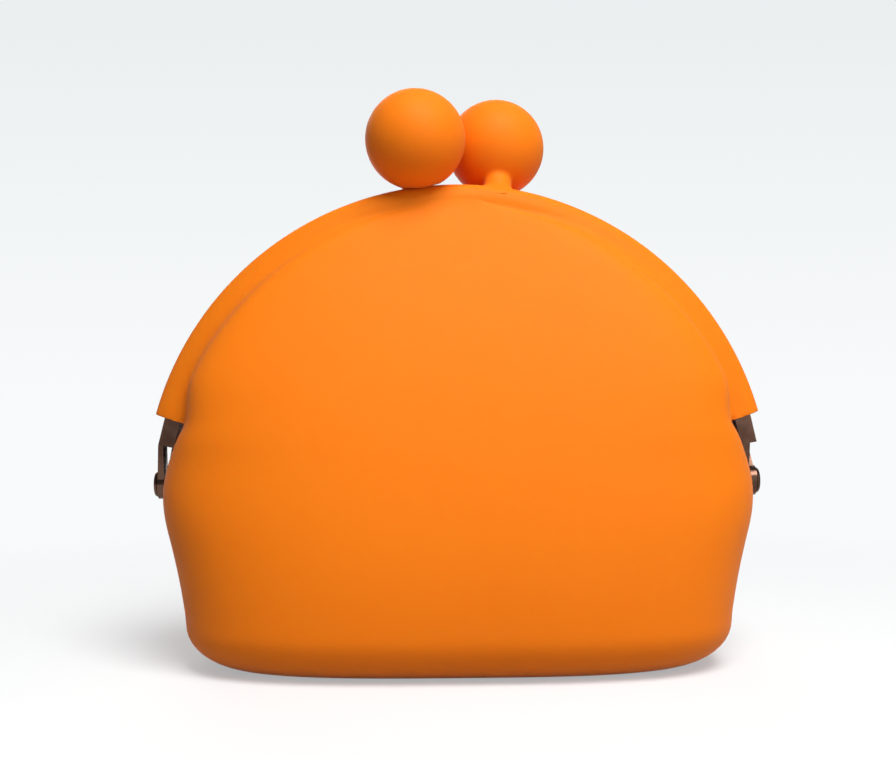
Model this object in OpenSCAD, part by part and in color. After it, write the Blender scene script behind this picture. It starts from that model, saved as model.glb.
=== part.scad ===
// Round-topped silicone coin purse with a ball clasp.
// X runs across the purse, -Y is the front, Z is up, and the origin lies under the middle of the base.
// The silicone is one moulding. It is split here where it flexes, so that its halves can turn.

/* [Pouch] */
// Height of the hinge line above the base
hinge_h = 31.8; // [28:0.2:38]
// Depth of the pouch at its fullest, front to back
base_depth = 50; // [42:1:58]
// Height at which the pouch is fullest
fullest_h = 10; // [9:0.5:14]
// How far the hips lie inside the middle line of the steel bar
hip_inset = 0.5; // [0.4:0.1:2]
// How far the waist is drawn in from the hips
waist_inset = 3.6; // [1:0.1:6]
// Height of the waist above the base
waist_h = 8; // [7:0.5:12]
// Curve from the waist out to the hips, where 1 is straight
waist_curve = 1.4; // [1:0.1:2.2]
// Curve from the hips in to the ends of the rim, where 1 is straight
shoulder_curve = 1.9; // [1.2:0.1:2.4]
// Height of the rounded lower edge
edge_h = 8; // [5:0.5:9]
// How far the rounded lower edge runs in from the sides
edge_in_x = 11.5; // [6:0.5:14]
// How far the rounded lower edge runs in from the front and back
edge_in_y = 9; // [6:0.5:12]
// Squareness of the lower pouch seen from above, where 2 is an ellipse
low_square = 2.9; // [2.3:0.1:3.6]
// Squareness of the panels' tops seen from above
top_square = 2.2; // [2:0.1:2.9]
// Thickness of the silicone wall
wall_t = 2; // [1.4:0.1:2.4]
// Rounding of the walls' free edges at the hips
edge_round = 0.5; // [0.2:0.1:0.8]

/* [Rim] */
// Outer radius of the rim over the mouth
rim_outer_r = 55.6; // [52:0.2:62]
// How far the middle of the rim's arch lies below the hinge line
arch_drop = 2.5; // [1.5:0.1:3]
// Angle above the horizontal at which each rim half ends
rim_end = 15.8; // [14:0.2:20]
// Silicone over the outside of the steel bar
rim_skin = 1.9; // [1.2:0.1:2.6]
// Silicone under the steel bar, towards the mouth
rim_under = 1.7; // [1:0.1:3]
// Silicone on the front and back of the steel bar
rim_side = 1.25; // [0.9:0.05:2]
// Rounding of the rim's long edges
rim_round = 2.6; // [1.2:0.1:3]
// Gap between the closed rim halves
rim_gap = 0.6; // [0.4:0.1:1.4]
// How far the front panel climbs over the rim's face at the top
panel_climb = 4.5; // [1:0.1:4.5]
// Thickness of the panel's upper edge, where it thins out over the rim
lip_t = 0.4; // [0.2:0.1:1]

/* [Steel frame] */
// Thickness of the bar, measured across the arch
bar_t = 2.8; // [2.2:0.1:3.4]
// Depth of the bar, front to back
bar_depth = 4.2; // [3.4:0.1:5]
// Angle above the horizontal at which the full bar gives way to its thin leg
bar_end = 10.5; // [9.5:0.5:12]
// Radius of the hinge ear
ear_r = 2.7; // [2.5:0.1:3]
// Width of the leg above the ear
leg_w = 3.6; // [3.2:0.1:3.8]
// How far the leg's front, back and inner face lie inside those of the bar
leg_step = 0.2; // [0.15:0.05:0.5]
// Gap between the two ears on one rivet
ear_gap = 0.3; // [0.2:0.05:0.5]

/* [Rivets] */
// Diameter of the rivet's shank
rivet_d = 2.2; // [1.8:0.1:2.6]
// Diameter of the rivet's heads
rivet_head_d = 4.6; // [4:0.1:5.2]
// Thickness of the rivet's heads
rivet_head_t = 0.8; // [0.6:0.1:1.2]

/* [Ball clasp] */
// Diameter of each covered ball
ball_d = 17.7; // [16.5:0.1:18.5]
// Distance of each ball from the middle, measured across the purse
ball_side = 7.35; // [7:0.05:8]
// Height of the balls' centres above the top of the rim
ball_lift = 7.85; // [7.3:0.05:9.5]
// Gap between the closed balls
ball_gap = 0.3; // [0.2:0.1:0.8]
// Diameter of the hard core in each ball
core_d = 13.6; // [11:0.1:13.8]
// Diameter of the silicone neck under each ball
neck_d = 5; // [4:0.1:5.4]
// Diameter of the steel pin that carries the core
pin_d = 2; // [1.4:0.1:2.6]
// Depth of the pin's socket in the core
socket_depth = 4; // [2:0.2:6]

/* [Fits] */
// Radial clearance of the rivet in the ears
run_clear = 0.05; // [0.03:0.01:0.08]
// Radial clearance of the pin in the bar and in the core
pin_clear = 0.02; // [0.01:0.01:0.05]
// Gap between the silicone and what it is moulded round or lies against
seat_gap = 0.1; // [0.05:0.01:0.2]
// Gap along the lines where the silicone is split to flex
flex_gap = 0.3; // [0.2:0.05:0.6]
// Gap between the lowest point of the ears and the flexing line under them
ear_clear = 0.5; // [0.4:0.1:0.9]

/* [Hidden] */

silicone = "darkorange";
steel = "silver";
plastic = "ivory";

// Arch and rim, as radii about a line along Y at arch_z
arch_z = hinge_h - arch_drop;
bar_outer_r = rim_outer_r - rim_skin;
bar_inner_r = bar_outer_r - bar_t;
bar_mid_r = (bar_outer_r + bar_inner_r) / 2;
rim_inner_r = bar_inner_r - rim_under;

// Depths of the front half, measured from the middle plane towards the front
rim_back = rim_gap / 2;
rim_front = rim_back + bar_depth + 2 * rim_side;
bar_back = rim_back + rim_side;
bar_front = bar_back + bar_depth;
bar_mid_y = (bar_back + bar_front) / 2;
panel_edge = rim_front + seat_gap;

// Wall of the pouch
split_z = hinge_h - ear_r - ear_clear;
top_z = arch_z + rim_inner_r + panel_climb;
hip_half = bar_mid_r - hip_inset;
waist_half = hip_half - waist_inset;
flange_r = rim_inner_r - seat_gap;
lining_r = flange_r - wall_t;
flange_in = panel_edge - wall_t - seat_gap;
rim_end_x = (rim_inner_r + seat_gap) * cos(rim_end);
rim_end_z = arch_z + (rim_inner_r + seat_gap) * sin(rim_end);

// Grid of the moulded walls
side_steps = 28;
arch_rows = 13;
notch_rows = 6;
last_arch_angle = 87;
bowl_steps = 56;
edge_rows = 6;
bowl_rows = 5;

// Ball clasp
ball_y = sqrt(pow((ball_d + ball_gap) / 2, 2) - ball_side * ball_side);
ball_z = arch_z + rim_outer_r + ball_lift;
pin_foot_z = arch_z + sqrt(bar_mid_r * bar_mid_r - ball_side * ball_side);
pin_lean = atan2(ball_y + bar_mid_y, ball_z - pin_foot_z);
pin_reach = norm([ball_y + bar_mid_y, ball_z - pin_foot_z]);
pin_start = -bar_t / 3;
pin_end = pin_reach - core_d / 2 + socket_depth;

$fn = 64;

function smooth(u) = u * u * (3 - 2 * u);
function unit(u) = max(0, min(1, u));

// Cosine or sine c, made squarer to suit the height z
function rounded(c, z) =
    let (u = smooth(unit((z - fullest_h) / (top_z - fullest_h))))
    sign(c) * pow(abs(c), 2 / (low_square + (top_square - low_square) * u));

// Inset factor of the rounded lower edge: 1 at the base, 0 above the edge
function edge_inset(z) =
    let (u = unit(1 - z / edge_h))
    1 - sqrt(1 - u * u);

// Half width of the pouch at height z, up to the end of the rim
function half_width(z) =
    z < split_z
        ? let (u = unit((z - waist_h) / (split_z - waist_h)))
            waist_half + waist_inset * pow(u, waist_curve) - edge_in_x * edge_inset(z)
        : let (u = unit((z - split_z) / (rim_end_z - split_z)))
            hip_half + (rim_end_x - hip_half) * pow(u, shoulder_curve);

// Depth of the pouch at height z, from the middle plane to the fullest point of one side
function half_depth(z) =
    let (u = unit((z - fullest_h) / (top_z - fullest_h)))
    panel_edge + (base_depth / 2 - panel_edge) * (1 - pow(u, 1.8)) - edge_in_y * edge_inset(z);

// Radius of the panel's edge on the arch at angle a
function panel_edge_r(a) =
    rim_inner_r + seat_gap + (panel_climb - seat_gap) * smooth(unit((a - 22) / 55));

// Half section of a wall, from the right to the left end: half width w, edge depth e, full depth d
function half_section(w, e, d, z) = [
    for (i = [0:side_steps])
        let (a = 180 * i / side_steps)
        [w * rounded(cos(a), z), -e - (d - e) * rounded(sin(a), z), z]
];

// Whole section of the bowl, inset by the wall's thickness t
function bowl_section(z, t) = [
    for (i = [0:bowl_steps - 1])
        let (a = 360 * i / bowl_steps)
        [
            (half_width(max(z - t, 0)) - t) * rounded(cos(a), z),
            (half_depth(max(z - t, 0)) - t) * rounded(sin(a), z),
            z
        ]
];

// Faces between rows of a closed ring of n points, each quad as two triangles
function ring_faces(rows, n, start, flip) = [
    for (k = [0:rows - 2], i = [0:n - 1], half = [0, 1])
        let (
            a = start + k * n + i,
            b = start + k * n + (i + 1) % n,
            c = b + n,
            d = a + n,
            face = half == 0 ? [a, c, b] : [a, d, c]
        )
        flip ? [face[2], face[1], face[0]] : face
];

// Steel half hoop

// Closed arch of a rectangular section between two radii and two depths
module arch_bar(inner, outer, back, front, from) {
    translate([0, 0, arch_z])
        rotate([90, 0, 0])
            rotate(from)
                rotate_extrude(angle = 180 - 2 * from, $fn = 120)
                    translate([inner, back])
                        square([outer - inner, front - back]);
}

// Outline of the leg and its ear seen from the side, as [depth, height] points about the hinge line
function leg_outline() =
    let (
        join = arch_z + bar_mid_r * sin(bar_end) - hinge_h,
        lean = atan2(bar_mid_y, join),
        across = [cos(lean), -sin(lean)] * leg_w / 2
    )
    [
        [bar_back + leg_step, join + bar_t / 2],
        [bar_back + leg_step, join],
        -across,
        across,
        [bar_front - leg_step, join],
        [bar_front - leg_step, join + bar_t / 2]
    ];

// Tube along Y between two radii, with its axis at height z
module cross_tube(inner, outer, z) {
    translate([0, ear_r, z])
        rotate([90, 0, 0])
            difference() {
                cylinder(r = outer, h = 2 * rim_front, $fn = 120);
                translate([0, 0, -1])
                    cylinder(r = inner, h = 2 * rim_front + 2, $fn = 120);
            }
}

// Leg with its ear on side s (-1 left, 1 right): the outer of the two legs on that rivet, or the inner
module hinge_leg(s, is_outer) {
    inner = is_outer ? bar_mid_r + ear_gap / 2 : bar_inner_r;
    outer = is_outer ? bar_outer_r : bar_mid_r - ear_gap / 2;
    intersection() {
        cross_tube(bar_inner_r + leg_step, bar_outer_r, arch_z);
        cross_tube(is_outer ? inner : inner - bar_t, is_outer ? outer + bar_t : outer, hinge_h);
        translate([s > 0 ? 0 : -rim_outer_r, 0, hinge_h])
            rotate([90, 0, 90])
                linear_extrude(rim_outer_r)
                    polygon([for (p = leg_outline()) [-p[0], p[1]]]);
    }
    translate([s > 0 ? inner : -outer, 0, hinge_h])
        rotate([0, 90, 0])
            cylinder(r = ear_r, h = outer - inner);
}

// Straight rod along the line from the bar up to the ball
module clasp_rod(r, from, to) {
    translate([ball_side, -bar_mid_y, pin_foot_z])
        rotate([-pin_lean, 0, 0])
            translate([0, 0, from])
                cylinder(r = r, h = to - from);
}

module half_frame() {
    color(steel)
        difference() {
            union() {
                arch_bar(bar_inner_r, bar_outer_r, bar_back, bar_front, bar_end);
                hinge_leg(-1, true);
                hinge_leg(1, false);
            }
            translate([-rim_outer_r, 0, hinge_h])
                rotate([0, 90, 0])
                    cylinder(d = rivet_d + 2 * run_clear, h = 2 * rim_outer_r);
            clasp_rod(pin_d / 2 + pin_clear, pin_start, bar_t);
        }
}

// Rivet on side s, with a head on each side of the two ears
module rivet(s) {
    stack = bar_t + 2 * seat_gap;
    color(steel)
        translate([s * bar_mid_r, 0, hinge_h])
            rotate([0, 90, 0]) {
                cylinder(d = rivet_d, h = stack + rivet_head_t, center = true);
                for (side = [-1, 1])
                    translate([0, 0, side * (stack + rivet_head_t) / 2])
                        cylinder(d = rivet_head_d, h = rivet_head_t, center = true);
            }
}

// Silicone rim

// Rounded section of the rim as [radius, depth] points, grown by g all round
function rim_outline(g) =
    let (
        lo = rim_inner_r - g, hi = rim_outer_r + g,
        back = rim_back - g, front = rim_front + g,
        big = rim_round + g, small = rim_round / 4 + g, mid = rim_round / 2 + g
    )
    concat(
        corner([hi - big, back + big], big, -90),
        corner([hi - big, front - big], big, 0),
        corner([lo + small, front - small], small, 90),
        corner([lo + mid, back + mid], mid, 180)
    );

// Quarter round about a centre, starting at angle a
function corner(centre, r, a) = [
    for (i = [0:4])
        centre + r * [cos(a + 22.5 * i), sin(a + 22.5 * i)]
];

module rim_ring(g, from) {
    translate([0, 0, arch_z])
        rotate([90, 0, 0])
            rotate(from)
                rotate_extrude(angle = 180 - 2 * from, $fn = 120)
                    polygon(rim_outline(g));
}

module rim_sleeve() {
    color(silicone)
        difference() {
            rim_ring(0, rim_end);
            arch_bar(
                bar_inner_r - seat_gap, bar_outer_r + seat_gap,
                bar_back - seat_gap, bar_front + seat_gap, bar_end
            );
            clasp_rod(pin_d / 2 + seat_gap, 0, pin_reach);
        }
}

// Ball clasp, drawn for the front half, whose ball leans back over the rear rim

module ball_pin() {
    color(steel)
        clasp_rod(pin_d / 2, pin_start, pin_end);
}

module ball_core() {
    color(plastic)
        difference() {
            translate([ball_side, ball_y, ball_z])
                sphere(d = core_d);
            clasp_rod(pin_d / 2 + pin_clear, 0, pin_end + pin_clear);
        }
}

module ball_cover() {
    color(silicone)
        difference() {
            union() {
                translate([ball_side, ball_y, ball_z])
                    sphere(d = ball_d);
                clasp_rod(neck_d / 2, 0, pin_reach);
            }
            translate([ball_side, ball_y, ball_z])
                sphere(d = core_d + 2 * seat_gap);
            clasp_rod(pin_d / 2 + seat_gap, -neck_d, pin_reach);
            rim_ring(seat_gap, rim_end);
            rotate(180)
                rim_ring(flex_gap, rim_end);
            translate([0, rim_round / 2, arch_z])
                rotate([90, 0, 0])
                    cylinder(r = rim_outer_r - rim_round / 3, h = rim_round, $fn = 120);
        }
}

// Moulded wall of one half: rings of points run round its outer face, edge, lining and other edge

// One ring at arch angle a, where the wall's edge lies on the rim
function arch_ring(a) =
    let (
        r = panel_edge_r(a),
        zo = arch_z + r * sin(a),
        zi = arch_z + lining_r * sin(a),
        zf = arch_z + flange_r * sin(a)
    )
    wall_ring(
        half_section(r * cos(a), panel_edge, max(half_depth(zo), panel_edge + lip_t), zo),
        half_section(lining_r * cos(a), flange_in, half_depth(zi) - wall_t, zi),
        [[flange_r * cos(a), -panel_edge, zf], [flange_r * cos(a), -flange_in, zf]]
    );

// One ring at height z below the rim's end, where the wall's edge is free, as part u of the way up
function notch_ring(z, u) =
    let (
        w = half_width(z),
        e = flex_gap / 2 + (panel_edge - flex_gap / 2) * sqrt(u),
        ei = e + (flange_in - panel_edge) * u,
        round = edge_round * (1 - u)
    )
    wall_ring(
        half_section(w, e + round, half_depth(z), z),
        half_section(w - wall_t, ei + round, half_depth(z) - wall_t, z),
        [[w - wall_t / 3, -e + (e - ei) / 3, z], [w - wall_t * 2 / 3, -e + (e - ei) * 2 / 3, z]]
    );

function wall_ring(outer, inner, edge) = concat(
    outer,
    [for (p = edge) [-p[0], p[1], p[2]]],
    [for (i = [side_steps:-1:0]) inner[i]],
    [edge[1], edge[0]]
);

module half_wall() {
    n = side_steps;
    ring_size = 2 * n + 6;
    foot_z = split_z + flex_gap / 2;
    rings = concat(
        [for (k = [0:notch_rows - 1])
            let (u = pow(k / notch_rows, 2))
            notch_ring(foot_z + (rim_end_z - foot_z) * u, u)],
        [for (k = [0:arch_rows])
            arch_ring(rim_end + (last_arch_angle - rim_end) * k / arch_rows)]
    );
    count = len(rings);
    last = (count - 1) * ring_size;
    top = rings[count - 1];
    crest = [
        for (row = [n + 1, n + 2], i = [1:n - 1])
            let (end = top[row])
            [end[0] * (2 * i / n - 1), end[1], end[2]]
    ];
    crest_start = count * ring_size;
    // Index of the crest's point i in row r: 0 is the outer edge, 3 the lining
    function at(r, i) =
        r == 0 ? last + i
        : r == 3 ? last + 2 * n + 3 - i
        : i == 0 ? last + ring_size - r
        : i == n ? last + n + r
        : crest_start + (r - 1) * (n - 1) + i - 1;
    faces = concat(
        ring_faces(count, ring_size, 0, false),
        [for (r = [0:2], i = [0:n - 1], half = [0, 1])
            half == 0 ? [at(r, i), at(r + 1, i + 1), at(r, i + 1)]
            : [at(r, i), at(r + 1, i), at(r + 1, i + 1)]],
        [for (i = [1:n - 2], half = [0, 1])
            half == 0 ? [i, i + 1, 2 * n + 2 - i]
            : [i, 2 * n + 2 - i, 2 * n + 3 - i]],
        [[0, 1, 2 * n + 2, 2 * n + 3, 2 * n + 4, 2 * n + 5]],
        [[n - 1, n, n + 1, n + 2, n + 3, n + 4]]
    );
    color(silicone)
        polyhedron(points = concat([for (r = rings) each r], crest), faces = faces, convexity = 6);
}

module pouch_bowl() {
    brim = split_z - flex_gap / 2;
    outer_z = concat(
        [-1],
        [for (k = [0:edge_rows]) edge_h * (1 - cos(90 * k / edge_rows))],
        [for (k = [1:bowl_rows]) edge_h + (brim - edge_h) * k / bowl_rows]
    );
    inner_z = concat(
        [for (k = [0:edge_rows]) wall_t + edge_h * (1 - cos(90 * k / edge_rows))],
        [for (k = [1:bowl_rows]) wall_t + edge_h + (brim - wall_t - edge_h) * k / bowl_rows]
    );
    outer = [for (z = outer_z) bowl_section(z, 0)];
    inner = [for (z = inner_z) bowl_section(z, wall_t)];
    n = bowl_steps;
    inner_start = len(outer) * n;
    outer_brim = inner_start - n;
    inner_brim = inner_start + (len(inner) - 1) * n;
    color(silicone)
        difference() {
            polyhedron(
                points = concat([for (r = outer) each r], [for (r = inner) each r]),
                faces = concat(
                    ring_faces(len(outer), n, 0, false),
                    ring_faces(len(inner), n, inner_start, true),
                    [[for (i = [0:n - 1]) i]],
                    [[for (i = [n - 1:-1:0]) inner_start + i]],
                    [for (i = [0:n - 1], half = [0, 1])
                        half == 0
                            ? [outer_brim + i, inner_brim + (i + 1) % n, outer_brim + (i + 1) % n]
                            : [outer_brim + i, inner_brim + i, inner_brim + (i + 1) % n]]
                ),
                convexity = 6
            );
            translate([-rim_outer_r, -base_depth, -base_depth])
                cube([2 * rim_outer_r, 2 * base_depth, base_depth]);
        }
}

module left_rivet() { rivet(-1); }
module right_rivet() { rivet(1); }
module front_frame() { half_frame(); }
module front_ball_pin() { ball_pin(); }
module front_ball_core() { ball_core(); }
module front_ball_cover() { ball_cover(); }
module front_rim_sleeve() { rim_sleeve(); }
module front_wall() { half_wall(); }

// The rear half is the same set of pieces turned half way round
module rear_frame() { rotate(180) half_frame(); }
module rear_ball_pin() { rotate(180) ball_pin(); }
module rear_ball_core() { rotate(180) ball_core(); }
module rear_ball_cover() { rotate(180) ball_cover(); }
module rear_rim_sleeve() { rotate(180) rim_sleeve(); }
module rear_wall() { rotate(180) half_wall(); }

pouch_bowl();
left_rivet();
right_rivet();
front_frame();
front_ball_pin();
front_ball_core();
front_ball_cover();
front_rim_sleeve();
front_wall();
rear_frame();
rear_ball_pin();
rear_ball_core();
rear_ball_cover();
rear_rim_sleeve();
rear_wall();
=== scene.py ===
import math
import bmesh
import bpy
import numpy as np
from mathutils import Matrix, Vector


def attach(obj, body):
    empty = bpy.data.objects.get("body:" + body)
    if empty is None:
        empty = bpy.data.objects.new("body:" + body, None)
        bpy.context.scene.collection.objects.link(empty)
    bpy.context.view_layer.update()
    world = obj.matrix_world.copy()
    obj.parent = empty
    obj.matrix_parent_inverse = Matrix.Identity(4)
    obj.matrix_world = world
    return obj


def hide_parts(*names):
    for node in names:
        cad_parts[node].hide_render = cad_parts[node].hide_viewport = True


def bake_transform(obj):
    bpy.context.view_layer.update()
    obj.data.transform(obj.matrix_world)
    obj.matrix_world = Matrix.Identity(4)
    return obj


# Squeeze coin purse: matte silicone over a hinged steel hoop, with a pair of covered balls for a clasp.
# X runs across the purse, -Y is the front, Z is up. Lengths in the dictionaries are millimetres,
# apart from the looks and the studio, which are in metres.
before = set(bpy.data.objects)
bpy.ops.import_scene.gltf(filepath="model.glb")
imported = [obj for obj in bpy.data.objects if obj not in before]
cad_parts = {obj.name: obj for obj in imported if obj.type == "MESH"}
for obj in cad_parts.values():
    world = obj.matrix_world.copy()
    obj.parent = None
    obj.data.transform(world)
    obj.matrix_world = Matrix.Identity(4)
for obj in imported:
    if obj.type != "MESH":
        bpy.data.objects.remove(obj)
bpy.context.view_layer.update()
scene = bpy.context.scene
mm = 0.001
mergeDistance = 1e-6  # metres


class Sock:
    # a node's output that takes part in Python sums
    def __init__(self, nodes, out):
        self.nodes, self.out = nodes, out

    def maths(self, operation, a, b):
        return self.nodes.add("ShaderNodeMath", {"operation": operation}, [a, b])

    def __add__(self, other):
        return self.maths("ADD", self, other)

    def __sub__(self, other):
        return self.maths("SUBTRACT", self, other)

    def __mul__(self, other):
        return self.maths("MULTIPLY", self, other)

    def __truediv__(self, other):
        return self.maths("DIVIDE", self, other)

    def __rsub__(self, other):
        return self.maths("SUBTRACT", other, self)

    __radd__ = __add__
    __rmul__ = __mul__

    def clamp(self):
        return self.nodes.add("ShaderNodeClamp", {}, [self])

    def __getitem__(self, name):
        return Sock(self.nodes, self.out.node.outputs[name])


class Nodes:
    # builds one node tree, for a material or for geometry
    def __init__(self, tree):
        self.tree = tree

    def add(self, kind, settings=None, inputs=(), output=0):
        node = self.tree.nodes.new(kind)
        for key, value in (settings or {}).items():
            setattr(node, key, value)
        pairs = inputs.items() if isinstance(inputs, dict) else enumerate(inputs)
        for key, value in pairs:
            socket = node.inputs[key]
            if isinstance(value, Sock):
                self.tree.links.new(value.out, socket)
            else:
                socket.default_value = value
        return Sock(self, node.outputs[output]) if len(node.outputs) else node

    def mixColour(self, factor, a, b):
        return self.add("ShaderNodeMix", {"data_type": "RGBA"}, {0: factor, 6: a, 7: b}, 2)

    def noise(self, place, scale, detail):
        return self.add("ShaderNodeTexNoise", {}, {"Vector": place, "Scale": scale, "Detail": detail})

    def bump(self, height, strength, distance, **more):
        return self.add("ShaderNodeBump", {}, {
            "Strength": strength, "Distance": distance, "Height": height, **more})


def screenColour(r, g, b):
    # a colour picked on screen, 0 to 255, as linear light
    def linear(c):
        c = c / 255
        return c / 12.92 if c <= 0.04045 else ((c + 0.055) / 1.055) ** 2.4
    return (linear(r), linear(g), linear(b), 1.0)


def startMaterial(name):
    made = bpy.data.materials.new(name)
    made.use_nodes = True
    made.node_tree.nodes.clear()
    n = Nodes(made.node_tree)
    return made, n, n.add("ShaderNodeTexCoord")["Object"]


# silicone: even colour with faint clouds, a fine tooth and a little dust
siliconeLook = {
    "base": (240, 123, 11),
    "deep": (233, 114, 8),
    "deepShare": 0.4,
    "speck": (150, 72, 22),
    "lint": (255, 200, 140),
    "dustShare": 0.4,
    "cloudScale": 26.0,
    "cloudFrom": 0.4,
    "cloudGain": 2.0,
    "hazeScale": 420.0,
    "hazeBump": (0.10, 0.0004),     # strength and depth
    "toothScale": 4200.0,
    "toothBump": (0.15, 0.00005),
    "dustScale": 130.0,
    "dustShrink": 26.0,   # a greater number makes smaller dots
    "dustCore": 0.6,      # solid middle of each dot
    "dustRarity": 0.62,   # share of the cells that stay clean
    "rarityEdge": 60.0,   # how sharply those are told apart
    "kindEdge": 30.0,     # the same for pale and dark dots
    "roughness": 0.6,
    "roughnessSpread": 0.12,
    "specular": 0.13,
    "sheen": 0.03,
    "glow": 0.15,         # light that passes under the skin
    "glowDepth": 0.002,
}


def makeSilicone():
    look = siliconeLook
    made, n, place = startMaterial("orangeSilicone")
    cloud = n.noise(place, look["cloudScale"], 2.0)
    haze = n.noise(place, look["hazeScale"], 3.0)
    tooth = n.noise(place, look["toothScale"], 2.0)
    dots = n.add("ShaderNodeTexVoronoi", {"feature": "F1"}, {"Vector": place, "Scale": look["dustScale"]})
    pick = n.add("ShaderNodeSeparateColor", {}, [dots["Color"]])
    nearDot = 1 - (dots["Distance"] * look["dustShrink"] - look["dustCore"]).clamp()
    isDot = nearDot * ((pick["Red"] - look["dustRarity"]) * look["rarityEdge"]).clamp()
    lintMask = isDot * ((pick["Green"] - 0.5) * look["kindEdge"]).clamp()
    speckMask = isDot * ((0.5 - pick["Green"]) * look["kindEdge"]).clamp()
    clouded = ((cloud - look["cloudFrom"]) * look["cloudGain"]).clamp()
    tone = n.mixColour(clouded * look["deepShare"], screenColour(*look["base"]),
                       screenColour(*look["deep"]))
    tone = n.mixColour(speckMask * look["dustShare"], tone, screenColour(*look["speck"]))
    tone = n.mixColour(lintMask * look["dustShare"], tone, screenColour(*look["lint"]))
    fine = n.bump(tooth, *look["toothBump"])
    soft = n.bump(haze, *look["hazeBump"], Normal=fine)
    shader = n.add("ShaderNodeBsdfPrincipled", {}, {
        "Base Color": tone, "Normal": soft,
        "Roughness": look["roughness"] + (haze - 0.5) * look["roughnessSpread"],
        "Specular IOR Level": look["specular"], "Sheen Weight": look["sheen"], "Sheen Roughness": 0.5,
        "Subsurface Weight": look["glow"], "Subsurface Scale": look["glowDepth"],
        "Subsurface Radius": (1.0, 0.4, 0.1),
    })
    n.add("ShaderNodeOutputMaterial", {}, {"Surface": shader})
    return made


# nickel-plated steel, brushed and a little tarnished; its dark brown plate colour is the nickel's own
# colour plus a painted reflection of dark surroundings and the orange silicone
steelLook = {
    # dark brown plate: painted reflection of dark surroundings and orange silicone, over the nickel's
    # colour
    "plate": (98, 72, 60),
    "tarnish": (54, 35, 28),
    "tarnishShare": 0.7,
    "tarnishScale": 160.0,
    "tarnishFrom": 0.45,
    "tarnishGain": 4.0,
    "brushScale": 900.0,
    "brushStretch": (1.0, 5.0, 1.0),
    "brushBump": (0.12, 0.00006),  # strength and depth
    "roughness": 0.2,
    "tarnishRoughness": 0.14,
    "brushRoughness": 0.1,
}


def makeSteel():
    look = steelLook
    made, n, place = startMaterial("nickelSteel")
    cloud = n.noise(place, look["tarnishScale"], 3.0)
    brushPlace = n.add("ShaderNodeMapping", {}, {"Vector": place, "Scale": look["brushStretch"]})
    brush = n.noise(brushPlace, look["brushScale"], 4.0)
    worn = ((cloud - look["tarnishFrom"]) * look["tarnishGain"]).clamp()
    # the plate colour holds a painted reflection; the tarnish mixed over it follows random clouds
    colour = n.mixColour(worn * look["tarnishShare"], screenColour(*look["plate"]),
                         screenColour(*look["tarnish"]))
    shader = n.add("ShaderNodeBsdfPrincipled", {}, {
        "Base Color": colour, "Metallic": 1.0, "Normal": n.bump(brush, *look["brushBump"]),
        "Roughness": look["roughness"] + worn * look["tarnishRoughness"]
        + (brush - 0.5) * look["brushRoughness"],
    })
    n.add("ShaderNodeOutputMaterial", {}, {"Surface": shader})
    return made


# plain moulded plastic for the hidden cores
plasticLook = {
    "pale": (236, 230, 216),
    "dark": (222, 214, 196),
    "cloudScale": 300.0,
    "cloudBump": (0.1, 0.0001),  # strength and depth
    "roughness": 0.4,
    "roughnessSpread": 0.15,
}


def makePlastic():
    look = plasticLook
    made, n, place = startMaterial("corePlastic")
    cloud = n.noise(place, look["cloudScale"], 3.0)
    colour = n.mixColour(cloud, screenColour(*look["pale"]), screenColour(*look["dark"]))
    shader = n.add("ShaderNodeBsdfPrincipled", {}, {
        "Base Color": colour, "Roughness": look["roughness"] + cloud * look["roughnessSpread"],
        "Normal": n.bump(cloud, *look["cloudBump"])})
    n.add("ShaderNodeOutputMaterial", {}, {"Surface": shader})
    return made


silicone, steel, plastic = makeSilicone(), makeSteel(), makePlastic()
print("materials ready")


# sizes shared by the pouch, the rim and the clasp
shape = {
    "hingeHeight": 31.8,
    "splitHeight": 28.6,  # the hips are widest here, under the hinges
    "archHeight": 29.3,   # centre of the rim's arch
    "rimOuter": 55.6,
    "rimInner": 49.2,
    "rimBack": 0.3,
    "rimFront": 7.0,
    "outerRound": 2.6,
    "innerRound": 0.9,
    "crest": 51.0,        # the rim's front leans back outwards from this radius
    "leanLow": 0.4,       # share of the depth that is lost at the outer edge
    "leanTop": 0.12,      # the same under the balls
    "leanFrom": 0.92,     # sine of the angle along the arch where the lean starts to lessen
    "leanOver": 0.055,
    "rimEnd": 15.8,       # degrees above the level where each rim half stops
    "seat": 0.1,          # play between the pouch and the inside of the rim
    "barMid": 52.3,
    "barDepth": 3.65,
}


def unit(u):
    return max(0.0, min(1.0, u))


def smooth(u):
    return u * u * (3 - 2 * u)


def addObject(name, data):
    made = bpy.data.objects.new(name, data)
    scene.collection.objects.link(made)
    return made


def finishMesh(bm, mesh, material, sharp):
    # smooth shading with the steep edges kept sharp, and one material
    for face in bm.faces:
        face.smooth = True
        face.material_index = 0
    for edge in bm.edges:
        edge.smooth = len(edge.link_faces) == 2 and edge.calc_face_angle() < math.radians(sharp)
    bm.to_mesh(mesh)
    bm.free()
    mesh.materials.clear()
    mesh.materials.append(material)


def meshObject(name, points, faces, material, sharp=40):
    # points in millimetres
    bm = bmesh.new()
    verts = [bm.verts.new(Vector(p) * mm) for p in points]
    for face in faces:
        try:
            bm.faces.new([verts[i] for i in face])
        except ValueError:
            pass  # the same face twice
    bmesh.ops.remove_doubles(bm, verts=bm.verts, dist=mergeDistance)
    loose = [v for v in bm.verts if not v.link_faces]
    bmesh.ops.delete(bm, geom=loose, context="VERTS")
    bmesh.ops.recalc_face_normals(bm, faces=bm.faces)
    mesh = bpy.data.meshes.new(name)
    finishMesh(bm, mesh, material, sharp)
    return addObject(name, mesh)


def turned(points, half):
    # the rear half is the front half turned half way round
    return points if half == "front" else [(-x, -y, z) for x, y, z in points]


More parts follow.
